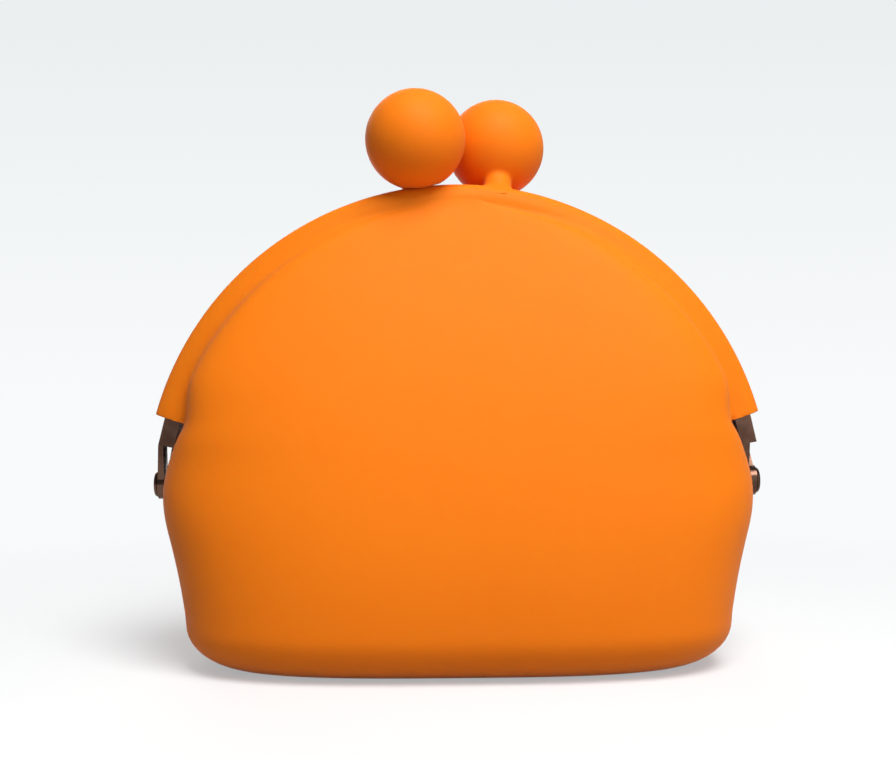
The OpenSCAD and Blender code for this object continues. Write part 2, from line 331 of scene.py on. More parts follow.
# pouch: one half of the moulded bag, from the middle of the base up to the rim
pouch = {
    "depth": 50.0,
    "fullestHeight": 10.0,
    "domePower": 1.8,
    "hipHalf": 52.5,
    "hipRound": 4.5,
    "hipSamples": 6,
    "waistInset": 4.3,
    "waistHeight": 8.0,
    "waistCurve": 1.4,
    "shoulderCurve": 1.9,
    "edgeHeight": 8.0,    # rounded lower edge
    "edgeInX": 11.5,
    "edgeInY": 9.0,
    "tuck": 1.2,          # the foot of the panel draws in by this much
    "tuckHeight": 24.0,
    "squareLow": 3.1,     # 2 is an ellipse
    "squareHigh": 3.7,
    "wall": 2.0,
    "liningDepth": 4.6,
    "liningInset": 2.1,
    "panelEdge": 7.02,
    "climbLow": 2.0,      # how far the panel climbs over the rim's front, soon after the rim's end
    "climbHigh": 0.5,     # and further up
    "climbOver": 10.0,    # degrees over which it reaches the first of these
    "climbHighFrom": 30.0,
    "climbHighOver": 45.0,
    "panelProud": 0.035,  # least height of the panel over its edge
    "notchFoot": 28.75,   # foot of the free edge at the hips
    "edgeBulge": 0.45,
    "archStop": 87.2,     # degrees
    "columns": 96,
    "baseRings": (0.25, 0.5, 0.75),  # shares of the base's outline
    "edgeRows": 12,
    "bowlRows": 17,
    "notchRows": 15,
    "archRows": 52,
    "capSteps": 4,
    "flare": 2.8,         # strip that thins out over the rim's front
    "flareLimit": 54.75,
    "flareSteps": 6,
    "flareLift": 0.015,
    "flareSink": 0.012,
    "flareBack": 0.8,     # share of the width where the strip turns back
    "flareDrop": 0.7,     # and how far it then lies under the rim's front
    "hem": ((49.6, 4.9), (49.4, 4.6)),  # radius and depth of the hidden points after that
    "creaseEnd": 1.6,     # width of the rounding in the valley along the rim, where the rim stops
    "creaseLow": 3.6,
    "creaseTop": 4.4,
    "creaseBelow": 6.0,   # the rounding starts this far under the rim's end
    "creaseIn": 0.4,      # and this far in front of the lining
    "creaseLowFrom": 1.0,
    "creaseLowOver": 9.0,
    "creaseTopFrom": 54.0,
    "creaseTopOver": 22.0,
    "creaseCore": 0.25,   # share of the width that is rounded in full
    "creaseLeast": 0.15,  # share of the rounding that is left where the rim stops
    "creasePull": 0.6,
    "creaseRounds": 60,
}
panelFoot = shape["rimInner"] + shape["seat"]
rimEndRad = math.radians(shape["rimEnd"])
rimEndX = panelFoot * math.cos(rimEndRad)
rimEndZ = shape["archHeight"] + panelFoot * math.sin(rimEndRad)
panelTop = shape["archHeight"] + panelFoot + pouch["climbLow"] + pouch["climbHigh"]


def riseOf(z):
    # 0 at the fullest height of the panel and 1 at its top
    return unit((z - pouch["fullestHeight"]) / (panelTop - pouch["fullestHeight"]))


def edgeInset(z):
    u = unit(1 - z / pouch["edgeHeight"])
    return 1 - math.sqrt(max(0.0, 1 - u * u))


def sharpHalfWidth(z):
    split, hip = shape["splitHeight"], pouch["hipHalf"]
    if z < split:
        u = unit((z - pouch["waistHeight"]) / (split - pouch["waistHeight"]))
        waist = hip - pouch["waistInset"]
        return waist + pouch["waistInset"] * u ** pouch["waistCurve"] - pouch["edgeInX"] * edgeInset(z)
    u = unit((z - split) / (rimEndZ - split))
    return hip + (rimEndX - hip) * u ** pouch["shoulderCurve"]


def halfWidth(z):
    # the hips are rounded by averaging over a short height, but not at the ends of the range
    reach = min(pouch["hipRound"], max(0.0, z - pouch["edgeHeight"]), max(0.0, rimEndZ - z))
    n = pouch["hipSamples"]
    return sum(sharpHalfWidth(z + reach * k / n) for k in range(-n, n + 1)) / (2 * n + 1)


def halfDepth(z):
    edge = pouch["panelEdge"]
    dome = (pouch["depth"] / 2 - edge) * (1 - riseOf(z) ** pouch["domePower"])
    tuck = pouch["tuck"] * unit(1 - z / pouch["tuckHeight"]) ** 2
    return edge + dome - pouch["edgeInY"] * edgeInset(z) - tuck


def panelEdgeRadius(a):
    # how far out the panel ends at angle a of the arch: it climbs over the rim's inner edge
    low = smooth(unit((a - shape["rimEnd"]) / pouch["climbOver"]))
    high = smooth(unit((a - pouch["climbHighFrom"]) / pouch["climbHighOver"]))
    return panelFoot + pouch["climbLow"] * low + pouch["climbHigh"] * high


def squareness(z):
    return pouch["squareLow"] + (pouch["squareHigh"] - pouch["squareLow"]) * smooth(riseOf(z))


def rimLean(r, rise):
    # factor on the rim's depth at radius r, where rise is the sine of the angle along the arch
    under = unit((rise - shape["leanFrom"]) / shape["leanOver"])
    lean = shape["leanLow"] + (shape["leanTop"] - shape["leanLow"]) * under
    return 1 - lean * unit((r - shape["crest"]) / (shape["rimOuter"] - shape["crest"]))


def rimFace(r, rise):
    # depth of the rim's front face at radius r, with its rounded outer edge
    over = unit((r - shape["rimOuter"] + shape["outerRound"]) / shape["outerRound"])
    depth = shape["rimFront"] - shape["outerRound"] * (1 - math.sqrt(1 - over * over))
    return shape["barDepth"] + (depth - shape["barDepth"]) * rimLean(r, rise)


def columnAngles(count, width=50, depth=17, square=2.6, crowding=0.55, samples=4001):
    # angles along half a section, evenly spaced by length and closer together at both ends
    fine = np.linspace(0, math.pi, samples)
    x = width * np.sign(np.cos(fine)) * np.abs(np.cos(fine)) ** (2 / square)
    y = depth * np.sin(fine) ** (2 / square)
    run = np.concatenate([[0], np.cumsum(np.hypot(np.diff(x), np.diff(y)))])
    part = np.arange(count + 1) / count
    part = part - crowding * np.sin(2 * math.pi * part) / (2 * math.pi)
    return np.interp(part * run[-1], run, fine)


angles = columnAngles(pouch["columns"])


def section(w, e, d, z, local=1.0):
    # half section at height z: half width w, full depth d, and depth e at its ends, where a
    # greater local keeps the effect of e closer to the ends
    c, s = np.cos(angles), np.sin(angles)
    s[0] = s[-1] = 0.0
    power = 2 / squareness(z)
    x = w * np.sign(c) * np.abs(c) ** power
    y = -((d ** local - e ** local) * np.abs(s) ** (power * local) + e ** local) ** (1 / local)
    return [(float(a), float(b), z) for a, b in zip(x, y)]


def pouchRows():
    # rows of the outer face and of the lining, low to high, then the first row that has a free
    # edge and the first one that follows the arch
    outer, inner = [], []
    wall, foot, edge = pouch["wall"], pouch["notchFoot"], pouch["edgeHeight"]
    base = section(halfWidth(0), 0, halfDepth(0), 0)
    baseInside = section(halfWidth(0) - wall, 0, halfDepth(0) - wall, 0)
    for part in pouch["baseRings"]:
        outer.append([(x * part, y * part, 0.0) for x, y, z in base])
        inner.append([(x * part, y * part, wall) for x, y, z in baseInside])
    heights = [edge * (1 - math.cos(math.radians(90 * k / pouch["edgeRows"])))
               for k in range(pouch["edgeRows"] + 1)]
    heights += [edge + (foot - edge) * k / pouch["bowlRows"] for k in range(1, pouch["bowlRows"] + 1)]
    for z in heights:
        outer.append(section(halfWidth(z), 0, halfDepth(z), z))
        inner.append(section(halfWidth(z) - wall, 0, halfDepth(z) - wall, z + wall * (1 - z / foot)))
    seamRows = len(outer)
    for k in range(1, pouch["notchRows"]):
        u = (k / pouch["notchRows"]) ** 2
        z = foot + (rimEndZ - foot) * u
        e, ei = pouch["panelEdge"] * math.sqrt(u), pouch["liningDepth"] * math.sqrt(u)
        local = 3 - 2 * smooth(u)
        outer.append(section(halfWidth(z), e, halfDepth(z), z, local))
        inner.append(section(halfWidth(z) - wall, ei, halfDepth(z) - wall, z, local))
    archFirst = len(outer)
    for k in range(pouch["archRows"] + 1):
        a = shape["rimEnd"] + (pouch["archStop"] - shape["rimEnd"]) * k / pouch["archRows"]
        up, across = math.sin(math.radians(a)), math.cos(math.radians(a))
        r, ri = panelEdgeRadius(a), shape["rimInner"] - pouch["liningInset"]
        zo, zi = shape["archHeight"] + r * up, shape["archHeight"] + ri * up
        face = rimFace(r, up) + pouch["flareLift"]
        depth = max(halfDepth(zo), face + pouch["panelProud"])
        outer.append(section(r * across, face, depth, zo))
        inner.append(section(ri * across, pouch["liningDepth"], halfDepth(zi) - wall, zi))
    return outer, inner, seamRows, archFirst


def softenCrease(points, faces, crease, pinned):
    # rounds the valley along the rim by averaging each point with its neighbours
    p = np.array(points)
    pairs = set()
    for face in faces:
        for a, b in zip(face, face[1:] + face[:1]):
            pairs.add((min(a, b), max(a, b)))
    pairs = np.array(sorted(pairs))
    line = p[crease]
    reach = np.zeros(len(p))
    isPanel = ((p[:, 2] > rimEndZ - pouch["creaseBelow"])
               & (p[:, 1] < -pouch["liningDepth"] - pouch["creaseIn"]))
    least = pouch["creaseLeast"]
    for i in np.where(isPanel)[0]:
        gap = np.sqrt(((line - p[i]) ** 2).sum(axis=1).min())
        climb = unit((p[i, 2] - rimEndZ - pouch["creaseLowFrom"]) / pouch["creaseLowOver"])
        further = unit((p[i, 2] - pouch["creaseTopFrom"]) / pouch["creaseTopOver"])
        wide = pouch["creaseEnd"] + (pouch["creaseLow"] - pouch["creaseEnd"]) * climb
        wide += (pouch["creaseTop"] - pouch["creaseLow"]) * further
        reach[i] = smooth(unit(1 + pouch["creaseCore"] - gap / wide)) * (least + (1 - least) * climb)
    reach[pinned] = 0
    count = np.zeros(len(p))
    np.add.at(count, pairs[:, 0], 1)
    np.add.at(count, pairs[:, 1], 1)
    for _ in range(pouch["creaseRounds"]):
        total = np.zeros_like(p)
        np.add.at(total, pairs[:, 0], p[pairs[:, 1]])
        np.add.at(total, pairs[:, 1], p[pairs[:, 0]])
        mean = total / np.maximum(count, 1)[:, None]
        p += (mean - p) * (pouch["creasePull"] * reach)[:, None]
    return [tuple(q) for q in p]


def flareSteps(r, rise):
    # radius and depth of each point across the flare, which then turns back inside the rim
    width = min(pouch["flare"], pouch["flareLimit"] - r)
    count = pouch["flareSteps"]
    steps = [(r + width * k / count, rimFace(r + width * k / count, rise) + pouch["flareLift"])
             for k in range(1, count)]
    last = rimFace(r + width, rise)
    steps.append((r + width, last - pouch["flareSink"]))
    steps.append((r + width * pouch["flareBack"], last - pouch["flareDrop"]))
    return steps + list(pouch["hem"])


def buildPouchHalf(half):
    outer, inner, seamRows, archFirst = pouchRows()
    n, rows, capSteps = pouch["columns"], len(outer), pouch["capSteps"]
    points = [(0, 0, 0), (0, 0, pouch["wall"])]
    index, faces = {}, []
    for layer, grid in (("outer", outer), ("inner", inner)):
        for j, row in enumerate(grid):
            for i, point in enumerate(row):
                index[layer, j, i] = len(points)
                points.append(point)
    for pole, layer in enumerate(("outer", "inner")):
        for i in range(n):
            faces.append([pole, index[layer, 0, i], index[layer, 0, i + 1]])
            for j in range(rows - 1):
                faces.append([index[layer, j, i], index[layer, j + 1, i],
                              index[layer, j + 1, i + 1], index[layer, j, i + 1]])
    outerFaces = list(faces)

    def addStrips(strips):
        made = []
        for one, two in zip(strips, strips[1:]):
            for k in range(len(one) - 1):
                made.append([one[k], one[k + 1], two[k + 1], two[k]])
        faces.extend(made)
        return made

    # edge strips: the seam where the halves meet, then the free edge up to the rim
    def between(a, b, bulge):
        first, last = np.array(points[a]), np.array(points[b])
        made = [a]
        for k in range(1, capSteps):
            u = k / capSteps
            spot = first + (last - first) * u + np.array([0, bulge * math.sin(math.pi * u), 0])
            points.append(tuple(spot))
            made.append(len(points) - 1)
        return made + [b]

    poleStrip = between(0, 1, 0)
    caps = []
    for end in (0, n):
        strips = [poleStrip]
        for j in range(archFirst + 1):
            bulge = pouch["edgeBulge"] * unit((j - seamRows) / 3) * unit((archFirst - j) / 2)
            strips.append(between(index["outer", j, end], index["inner", j, end], bulge))
        addStrips(strips)
        caps.append(strips[-1][-2:0:-1])

    # flare: thins out over the rim's front face, all along the rim
    stations = [(j, 0) for j in range(archFirst, rows)]
    stations += [(rows - 1, i) for i in range(1, n)]
    stations += [(j, n) for j in range(rows - 1, archFirst - 1, -1)]
    strips, crease, pinned = [], [], []
    for j, i in stations:
        start = index["outer", j, i]
        crease.append(start)
        dx, dz = points[start][0], points[start][2] - shape["archHeight"]
        r = math.hypot(dx, dz)
        dx, dz = dx / r, dz / r
        strip = [start]
        for radius, depth in flareSteps(r, dz):
            strip.append(len(points))
            points.append((dx * radius, -depth, shape["archHeight"] + dz * radius))
        strip.append(index["inner", j, i])
        pinned += strip[pouch["flareSteps"] - 1:]
        strips.append(strip)
    for k, face in enumerate(addStrips(strips)):
        if k % (len(strips[0]) - 1) < pouch["flareSteps"]:
            outerFaces.append(face)
    faces.append(strips[0] + caps[0])
    faces.append(strips[-1] + caps[1])
    points = softenCrease(points, outerFaces, crease, pinned)
    return meshObject(half + "Pouch", turned(points, half), faces, silicone)


for half in ("front", "rear"):
    piece = buildPouchHalf(half)
    side = -1 if half == "front" else 1
    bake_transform(piece)
    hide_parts(half + "_wall", "pouch_bowl")
    print(piece.name, "has", len(piece.data.polygons), "faces")


# rim: the silicone sleeve swept along the arch, hollow for the steel bar
rim = {
    "radius": 52.4,       # middle of the section, from the arch's centre
    "height": 6.4,        # across the arch
    "depth": 6.7,         # front to back
    "channelRadius": 52.3,
    "channelHeight": 3.0,
    "channelDepth": 4.4,
    "channelLap": 0.05,   # radians that the channel's cutter stands out at each end
    "channelMargin": 0.2,
    "endRound": 0.4,
    "roundFrom": 50,      # degrees between two faces
    "roundSteps": 7,
    "profileSteps": 76,
    "archSteps": 150,
}


def rimTree():
    tree = bpy.data.node_groups.new("rimSweep", "GeometryNodeTree")
    face = tree.interface
    sizes = {}
    face.new_socket("Geometry", in_out="OUTPUT", socket_type="NodeSocketGeometry")
    wanted = {
        "NodeSocketFloat": ("Radius", "Height", "Depth", "Outer Round", "Inner Round", "Channel Radius",
                            "Channel Height", "Channel Depth", "Arch Height", "Middle Depth", "End Angle",
                            "Turn", "Crest", "Lean Low", "Lean Top", "Lean From", "Lean Over"),
        "NodeSocketInt": ("Round Steps", "Profile Steps", "Arch Steps"),
        "NodeSocketMaterial": ("Material",),
    }
    for kind, names in wanted.items():
        for name in names:
            sizes[name] = face.new_socket(name, in_out="INPUT", socket_type=kind).identifier
    n = Nodes(tree)
    given = n.add("NodeGroupInput")
    sweep = math.pi - given["End Angle"] * 2.0
    position = n.add("GeometryNodeInputPosition")
    where = n.add("ShaderNodeSeparateXYZ", {}, [position])

    def bar(radius, height, depth, start, angle, rounded):
        curve = n.add("GeometryNodeCurveArc", {"mode": "RADIUS"}, {
            "Resolution": given["Arch Steps"], "Radius": radius, "Start Angle": start,
            "Sweep Angle": angle})
        curve = n.add("GeometryNodeSetCurveNormal", {"mode": "Z_UP"}, [curve])
        box = n.add("GeometryNodeCurvePrimitiveQuadrilateral", {"mode": "RECTANGLE"}, {
            "Width": height, "Height": depth})
        if rounded:
            isOuter = n.add("ShaderNodeMath", {"operation": "GREATER_THAN"}, [where["X"], 0.0])
            size = given["Inner Round"] + (given["Outer Round"] - given["Inner Round"]) * isOuter
            box = n.add("GeometryNodeFilletCurve", {"mode": "POLY"}, {
                "Curve": box, "Radius": size, "Count": given["Round Steps"]})
            box = n.add("GeometryNodeResampleCurve", {"mode": "COUNT"}, {
                "Curve": box, "Count": given["Profile Steps"]})
        return n.add("GeometryNodeCurveToMesh", {}, {
            "Curve": curve, "Profile Curve": box, "Fill Caps": True})

    sleeve = bar(given["Radius"], given["Height"], given["Depth"], given["End Angle"], sweep, True)
    # the front leans back outwards from its crest, less so under the balls
    flat = n.add("ShaderNodeCombineXYZ", {}, [where["X"], where["Y"], 0.0])
    radius = n.add("ShaderNodeVectorMath", {"operation": "LENGTH"}, [flat], "Value")
    outerRadius = given["Radius"] + given["Height"] * 0.5
    outward = ((radius - given["Crest"]) / (outerRadius - given["Crest"])).clamp()
    under = ((where["Y"] / radius - given["Lean From"]) / given["Lean Over"]).clamp()
    lean = (given["Lean Low"] + (given["Lean Top"] - given["Lean Low"]) * under) * outward
    isFront = n.add("ShaderNodeMath", {"operation": "GREATER_THAN"}, [where["Z"], 0.0])
    shift = n.add("ShaderNodeCombineXYZ", {}, [0.0, 0.0, 0.0 - where["Z"] * lean * isFront])
    sleeve = n.add("GeometryNodeSetPosition", {}, {"Geometry": sleeve, "Offset": shift})
    lap = rim["channelLap"]
    channel = bar(given["Channel Radius"], given["Channel Height"], given["Channel Depth"],
                  given["End Angle"] - lap, sweep + 2 * lap, False)
    hollow = n.add("GeometryNodeMeshBoolean", {"operation": "DIFFERENCE", "solver": "EXACT"}, {
        "Mesh 1": sleeve, "Mesh 2": channel})
    stand = n.add("ShaderNodeCombineXYZ", {}, [0.0, given["Middle Depth"], given["Arch Height"]])
    upright = n.add("GeometryNodeTransform", {}, {
        "Geometry": hollow, "Translation": stand, "Rotation": (math.pi / 2, 0, 0)})
    spin = n.add("ShaderNodeCombineXYZ", {}, [0.0, 0.0, given["Turn"]])
    placed = n.add("GeometryNodeTransform", {}, {"Geometry": upright, "Rotation": spin})
    real = n.add("GeometryNodeRealizeInstances", {}, [placed])
    done = n.add("GeometryNodeSetMaterial", {}, {"Geometry": real, "Material": given["Material"]})
    n.add("NodeGroupOutput", {}, [done])
    return tree, sizes


def softenEnds(bm):
    # rounds the outline of the sleeve's two ends, but not the channel for the bar
    edges, margin, steep = [], rim["channelMargin"], math.radians(rim["roundFrom"])
    for edge in bm.edges:
        middle = (edge.verts[0].co + edge.verts[1].co) / 2 / mm
        r = math.hypot(middle.x, middle.z - shape["archHeight"])
        inChannel = (abs(r - rim["channelRadius"]) < rim["channelHeight"] / 2 + margin
                     and abs(abs(middle.y) - shape["barDepth"]) < rim["channelDepth"] / 2 + margin)
        if len(edge.link_faces) == 2 and edge.calc_face_angle() > steep and not inChannel:
            edges.append(edge)
    bmesh.ops.bevel(bm, geom=edges, offset=rim["endRound"] * mm, offset_type="OFFSET", segments=3,
                    profile=0.5, affect="EDGES", clamp_overlap=True)


def runTree(name, tree, sizes, values, finish, sharp=35):
    # gives the tree its values, then keeps the result as a plain mesh
    made = addObject(name, bpy.data.meshes.new(name + "Start"))
    modifier = made.modifiers.new(name, "NODES")
    modifier.node_group = tree
    for key, value in values.items():
        modifier[sizes[key]] = value
    bpy.context.view_layer.update()
    evaluated = made.evaluated_get(bpy.context.evaluated_depsgraph_get())
    mesh = bpy.data.meshes.new_from_object(evaluated)
    made.modifiers.remove(modifier)
    made.data = mesh
    mesh.name = name
    bm = bmesh.new()
    bm.from_mesh(mesh)
    bmesh.ops.remove_doubles(bm, verts=bm.verts, dist=mergeDistance)
    bmesh.ops.recalc_face_normals(bm, faces=bm.faces)
    finish(bm)
    finishMesh(bm, mesh, values["Material"], sharp)
    return made


sweepTree, sweepSizes = rimTree()
sweepValues = {
    "Radius": rim["radius"] * mm, "Height": rim["height"] * mm, "Depth": rim["depth"] * mm,
    "Outer Round": shape["outerRound"] * mm, "Inner Round": shape["innerRound"] * mm,
    "Channel Radius": rim["channelRadius"] * mm, "Channel Height": rim["channelHeight"] * mm,
    "Channel Depth": rim["channelDepth"] * mm, "Arch Height": shape["archHeight"] * mm,
    "Middle Depth": -shape["barDepth"] * mm, "End Angle": rimEndRad, "Crest": shape["crest"] * mm,
    "Lean Low": shape["leanLow"], "Lean Top": shape["leanTop"], "Lean From": shape["leanFrom"],
    "Lean Over": shape["leanOver"], "Round Steps": rim["roundSteps"],
    "Profile Steps": rim["profileSteps"], "Arch Steps": rim["archSteps"], "Material": silicone,
}
for half in ("front", "rear"):
    values = {**sweepValues, "Turn": 0.0 if half == "front" else math.pi}
    piece = runTree(half + "Rim", sweepTree, sweepSizes, values, softenEnds)
    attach(piece, half + "_half")
    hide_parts(half + "_rim_sleeve")
    print(piece.name, "has", len(piece.data.polygons), "faces")


# clasp balls: a covered ball whose neck melts into the top of its own rim
ball = {
    "radius": 8.85,
    "side": 7.35,
    "height": 92.75,
    "gap": 0.3,          # between the two balls when closed
    "rimClear": 0.28,    # between a ball and the other half's rim
    "neck": 2.5,
    "neckFillet": 0.9,
    "footFillet": 1.1,
    "footFront": 2.75,   # the foot reaches no further forward than this, to stay on the rim
    "footSink": 0.8,
    "footLap": 0.05,     # the foot's edge lies this deep in the rim
    "footStep": 0.02,    # least drop from ring to ring
    "footSearch": 14.0,  # deepest point along the neck where the rim is looked for
    "around": 72,
    "sphereRows": 40,
    "neckRows": 5,
    "footRows": 7,
}
ballBack = math.sqrt(((ball["radius"] * 2 + ball["gap"]) / 2) ** 2 - ball["side"] ** 2)
ballFoot = shape["archHeight"] + math.sqrt(shape["barMid"] ** 2 - ball["side"] ** 2)


def rimDistance(p, side):
    # how far a point lies outside the rim on side -1 (front) or 1 (rear)
    r = math.hypot(p[0], p[2] - shape["archHeight"])
    depth = p[1] * side
    if depth > shape["barDepth"]:
        lean = rimLean(r, (p[2] - shape["archHeight"]) / r)
        depth = shape["barDepth"] + (depth - shape["barDepth"]) / lean
    halfR = (shape["rimOuter"] - shape["rimInner"]) / 2
    halfD = (shape["rimFront"] - shape["rimBack"]) / 2
    dr = r - shape["rimInner"] - halfR
    dd = depth - shape["rimBack"] - halfD
    corner = shape["outerRound"] if dr > 0 else shape["innerRound"]
    qr, qd = abs(dr) - halfR + corner, abs(dd) - halfD + corner
    return math.hypot(max(qr, 0), max(qd, 0)) + min(max(qr, qd), 0) - corner


def pushOut(p, side, keep, step=0.01):
    # moves a point that is closer than keep to the other rim straight away from it
    p = np.array(p, float)
    for _ in range(6):
        d = rimDistance(p, side)
        if d >= keep:
            break
        slope = np.array([(rimDistance(p + np.eye(3)[k] * step, side) - d) / step for k in range(3)])
        p = p + slope / max(np.linalg.norm(slope), 1e-6) * (keep - d)
    return p


def buildBall(half):
    centre = np.array([ball["side"], ballBack, ball["height"]])
    foot = np.array([ball["side"], -shape["barDepth"], ballFoot])
    axis = (centre - foot) / np.linalg.norm(centre - foot)
    right = np.array([1.0, 0, 0])
    forward = np.cross(axis, right)
    around, big, neck, small = ball["around"], ball["radius"], ball["neck"], ball["neckFillet"]
    turns = [2 * math.pi * i / around for i in range(around)]
    outs = [right * math.cos(t) + forward * math.sin(t) for t in turns]
    points = [tuple(centre + axis * big)]
    rings = []

    def addRing(ring):
        rings.append(list(range(len(points), len(points) + around)))
        points.extend(tuple(p) for p in ring)

    # ball and the fillet into its neck
    reach = neck + small
    drop = math.sqrt((big + small) ** 2 - reach ** 2)
    meet = math.acos(-drop / (big + small))
    profile = []
    for k in range(1, ball["sphereRows"] + 1):
        t = meet * k / ball["sphereRows"]
        profile.append((big * math.sin(t), big * math.cos(t)))
    startAngle = math.atan2(drop, -reach)
    for k in range(1, ball["neckRows"] + 1):
        t = startAngle + (math.pi - startAngle) * k / ball["neckRows"]
        profile.append((reach + small * math.cos(t), -drop + small * math.sin(t)))
    for rho, along in profile:
        addRing([pushOut(centre + axis * along + out * rho, 1, ball["rimClear"]) for out in outs])

    # foot: each ring is let down along the neck until it nears the rim
    wide, front = ball["footFillet"], ball["footFront"]
    for k in range(ball["footRows"] + 1):
        t = math.pi / 2 * k / ball["footRows"]
        rho = neck + wide * (1 - math.cos(t))
        lift = wide * (1 - math.sin(t)) - (ball["footLap"] if k == ball["footRows"] else 0)
        ring = []
        for out in outs:
            ahead = (-out[1]) * rho - front
            if ahead > 0:
                out = out * (front / (front + ahead))
            low, high = -ball["footSearch"], -drop
            for _ in range(30):
                middle = (low + high) / 2
                if rimDistance(centre + axis * middle + out * rho, -1) < lift:
                    low = middle
                else:
                    high = middle
            along = min(high, -drop - ball["footStep"] * (k + 1))
            ring.append(centre + axis * along + out * rho)
        addRing(ring)
    addRing([np.array(points[i]) - axis * ball["footSink"] for i in rings[-1]])

    faces = [[0, rings[0][(i + 1) % around], rings[0][i]] for i in range(around)]
    for one, two in zip(rings, rings[1:]):
        for i in range(around):
            j = (i + 1) % around
            faces.append([one[i], one[j], two[j], two[i]])
    faces.append(rings[-1][::-1])
    return meshObject(half + "Ball", turned(points, half), faces, silicone, sharp=50)


for half in ("front", "rear"):
    piece = buildBall(half)
    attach(piece, half + "_half")
    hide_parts(half + "_ball_cover")
    print(piece.name, "has", len(piece.data.polygons), "faces")


# steel half hoops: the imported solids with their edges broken
hoop = {
    "edgeRound": 0.22,
    "roundFrom": 40,  # degrees between two faces
    "flatUnder": 4,   # faces that meet at a smaller angle are joined
    "weld": 0.002,    # points closer than this are merged
    "sharp": 30,
}


def buildHoop(name):
    bm = bmesh.new()
    bm.from_mesh(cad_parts[name].data)
    bmesh.ops.remove_doubles(bm, verts=bm.verts, dist=hoop["weld"] * mm)
    bmesh.ops.dissolve_limit(bm, angle_limit=math.radians(hoop["flatUnder"]), verts=bm.verts,
                             edges=bm.edges, delimit=set())
    bmesh.ops.recalc_face_normals(bm, faces=bm.faces)
    steep = math.radians(hoop["roundFrom"])
    edges = [e for e in bm.edges if len(e.link_faces) == 2 and e.calc_face_angle() > steep]
    bmesh.ops.bevel(bm, geom=edges, offset=hoop["edgeRound"] * mm, offset_type="OFFSET", segments=2,
                    profile=0.5, affect="EDGES", clamp_overlap=True)
    bmesh.ops.remove_doubles(bm, verts=bm.verts, dist=mergeDistance)
    bmesh.ops.triangulate(bm, faces=[f for f in bm.faces if len(f.verts) > 4])
    mesh = bpy.data.meshes.new(name + "Steel")
    finishMesh(bm, mesh, steel, hoop["sharp"])
    return addObject(name + "Steel", mesh)


for half in ("front", "rear"):
    piece = buildHoop(half + "_frame")
    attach(piece, half + "_half")
    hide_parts(half + "_frame")
    print(piece.name, "has", len(piece.data.polygons), "faces")


# rivets: turned heads with domed faces on one shank
rivet = {
    "shank": 1.1,
    "head": 2.3,
    "thick": 0.8,
    "grip": 3.0,  # between the heads
    "underRound": 0.12,
    "corner": 0.45,
    "dome": 0.18,
    "cornerSteps": 5,
    "domeSteps": 6,
    "around": 40,
}


def rivetOutline():
    # radius and height of each point of one head, from the middle of the shank outwards
    half, head, corner, dome = rivet["grip"] / 2, rivet["head"], rivet["corner"], rivet["dome"]
    under, top = rivet["underRound"], rivet["grip"] / 2 + rivet["thick"]
    outline = [(rivet["shank"], 0.0), (rivet["shank"], half), (head - under, half), (head, half + under)]
    for k in range(1, rivet["cornerSteps"] + 1):
        t = math.radians(90 * k / rivet["cornerSteps"])
        outline.append((head - corner * (1 - math.cos(t)), top - dome - corner * (1 - math.sin(t))))
    for k in range(1, rivet["domeSteps"]):
        rho = (head - corner) * (1 - k / rivet["domeSteps"])
        outline.append((rho, top - dome * (rho / (head - corner)) ** 2))
    return outline


def buildRivet(name, side):
    outline, around = rivetOutline(), rivet["around"]
    ring = [(rho, along) for rho, along in reversed(outline)][:-1]
    ring += [(rho, -along) for rho, along in outline[1:]]
    x, z = side * shape["barMid"], shape["hingeHeight"]
    end = rivet["grip"] / 2 + rivet["thick"]
    points = [(x - end, 0.0, z), (x + end, 0.0, z)]
    for rho, along in ring:
        for i in range(around):
            t = 2 * math.pi * i / around
            points.append((x + along, rho * math.cos(t), z + rho * math.sin(t)))
    faces = [[1, 2 + i, 2 + (i + 1) % around] for i in range(around)]
    for j in range(len(ring) - 1):
        for i in range(around):
            a, b = 2 + j * around + i, 2 + j * around + (i + 1) % around
            faces.append([a, b, b + around, a + around])
    last = 2 + (len(ring) - 1) * around
    faces += [[0, last + (i + 1) % around, last + i] for i in range(around)]
    return meshObject(name, points, faces, steel, sharp=35)


for name, side in (("left_rivet", -1), ("right_rivet", 1)):
    piece = buildRivet(name + "Steel", side)
    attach(piece, "pouch")
    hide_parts(name)
    print(piece.name, "has", len(piece.data.polygons), "faces")


# finishes of the solids that stay as they are, inside the balls
for half in ("front", "rear"):
    for ending, finish in (("_ball_core", plastic), ("_ball_pin", steel)):
        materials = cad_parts[half + ending].data.materials
        materials.clear()
        materials.append(finish)
print("cores and pins finished")


# studio, in metres
studio = {
    "floorScreen": (248, 250, 251),  # what the camera sees near the floor and further up
    "topScreen": (235, 239, 240),
    "fadeHeight": 0.62,
    "floorLit": (236, 237, 237),
    "floorReal": (158, 156, 154),    # what the object sees
    "nearEdge": 0.075,
    "farEdge": 0.21,
    "nearShare": 0.4,
    "floorFront": -3.0,
    "bendStart": 1.2,
    "bendRadius": 0.8,
    "bendSteps": 10,
    "wallTop": 4.0,
    "halfWidth": 4.0,
    "skyStrength": 0.22,
    "skyFade": 3.4,
}
lamps = {
    "keyLight": {"size": 0.42, "power": 5.65, "place": (0.13, -0.34, 0.62)},
    "fillLight": {"size": 0.8, "power": 1.75, "place": (0.42, -0.62, 0.2)},
    "backLight": {"size": 0.6, "power": 2.4, "place": (-0.15, 0.7, 0.22)},
}
view = {
    "turn": -1.0,  # degrees, like the next two
    "lift": 0.5,
    "roll": -0.3,
    "aim": (-0.0017, 0, 0.0504),
    "distance": 0.240,
    "lens": 53.4,
    "nearest": 0.01,
}


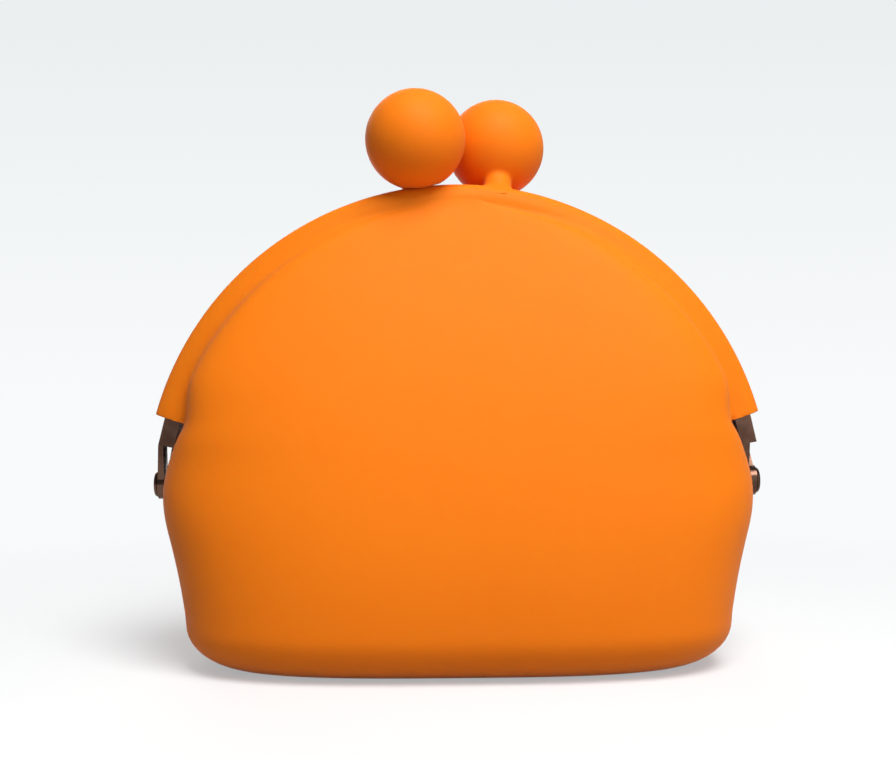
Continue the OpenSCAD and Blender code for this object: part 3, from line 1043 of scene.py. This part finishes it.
def makeFloor():
    made, n, place = startMaterial("paleFloor")
    rays = n.add("ShaderNodeLightPath")
    seen = (rays["Is Camera Ray"] + rays["Is Glossy Ray"] + rays["Is Transmission Ray"]).clamp()
    height = n.add("ShaderNodeSeparateXYZ", {}, [place])["Z"]
    pale = n.mixColour((height / studio["fadeHeight"]).clamp(), screenColour(*studio["floorScreen"]),
                       screenColour(*studio["topScreen"]))
    colour = n.mixColour(seen, screenColour(*studio["floorReal"]), screenColour(*studio["floorLit"]))
    lit = n.add("ShaderNodeBsdfPrincipled", {}, {
        "Base Color": colour, "Roughness": 0.8, "Specular IOR Level": 0.1})
    # away from the object the backdrop shows its own even colour, to the camera and in reflections only
    away = n.add("ShaderNodeVectorMath", {"operation": "LENGTH"}, [place], "Value")
    far = ((away - studio["nearEdge"]) / (studio["farEdge"] - studio["nearEdge"])).clamp()
    share = far * (1.0 - studio["nearShare"]) + studio["nearShare"]
    plain = n.add("ShaderNodeEmission", {}, {"Color": pale, "Strength": 1.0})
    both = n.add("ShaderNodeMixShader", {}, [share * seen, lit, plain])
    n.add("ShaderNodeOutputMaterial", {}, {"Surface": both})
    return made


def makeSweep():
    # floor that curves up into a backdrop
    start, radius, steps = studio["bendStart"], studio["bendRadius"], studio["bendSteps"]
    line = [(studio["floorFront"], 0.0), (start, 0.0)]
    for k in range(1, steps + 1):
        t = math.radians(90 * k / steps)
        line.append((start + radius * math.sin(t), radius * (1 - math.cos(t))))
    line.append((start + radius, studio["wallTop"]))
    wide = studio["halfWidth"]
    points = [(x * 1000, y * 1000, z * 1000) for y, z in line for x in (-wide, wide)]
    faces = [[2 * k, 2 * k + 1, 2 * k + 3, 2 * k + 2] for k in range(len(line) - 1)]
    made = meshObject("studioSweep", points, faces, makeFloor())


def makeLamp(name, place, size, power, target=(0, 0, 0.05)):
    data = bpy.data.lights.new(name, "AREA")
    data.shape, data.size, data.energy = "DISK", size, power
    made = addObject(name, data)
    made.location = place
    made.rotation_euler = (Vector(target) - Vector(place)).to_track_quat("-Z", "Y").to_euler()


def makeWorld():
    world = bpy.data.worlds.new("paleRoom")
    scene.world = world
    world.use_nodes = True
    world.node_tree.nodes.clear()
    n = Nodes(world.node_tree)
    isSeen = n.add("ShaderNodeLightPath")["Is Camera Ray"]
    strength = studio["skyStrength"] + isSeen * (1.0 - studio["skyStrength"])
    upward = n.add("ShaderNodeSeparateXYZ", {}, [n.add("ShaderNodeTexCoord")["Generated"]])["Z"]
    colour = n.mixColour((upward * studio["skyFade"]).clamp(), screenColour(*studio["floorScreen"]),
                         screenColour(*studio["topScreen"]))
    lit = n.add("ShaderNodeBackground", {}, {"Color": colour, "Strength": strength})
    n.add("ShaderNodeOutputWorld", {}, {"Surface": lit})


def makeCamera():
    turn, lift, roll = (math.radians(view[key]) for key in ("turn", "lift", "roll"))
    back = Vector((math.sin(turn) * math.cos(lift), -math.cos(turn) * math.cos(lift), math.sin(lift)))
    camera = addObject("photoCamera", bpy.data.cameras.new("photoCamera"))
    camera.location = Vector(view["aim"]) + back * view["distance"]
    facing = (-back).to_track_quat("-Z", "Y").to_matrix()
    camera.rotation_euler = (facing @ Matrix.Rotation(roll, 3, "Z")).to_euler()
    camera.data.lens = view["lens"]
    camera.data.clip_start = view["nearest"]
    scene.camera = camera


makeSweep()
for name, lamp in lamps.items():
    makeLamp(name, **lamp)
makeWorld()
makeCamera()
scene.view_settings.view_transform = "Standard"
print("studio ready")
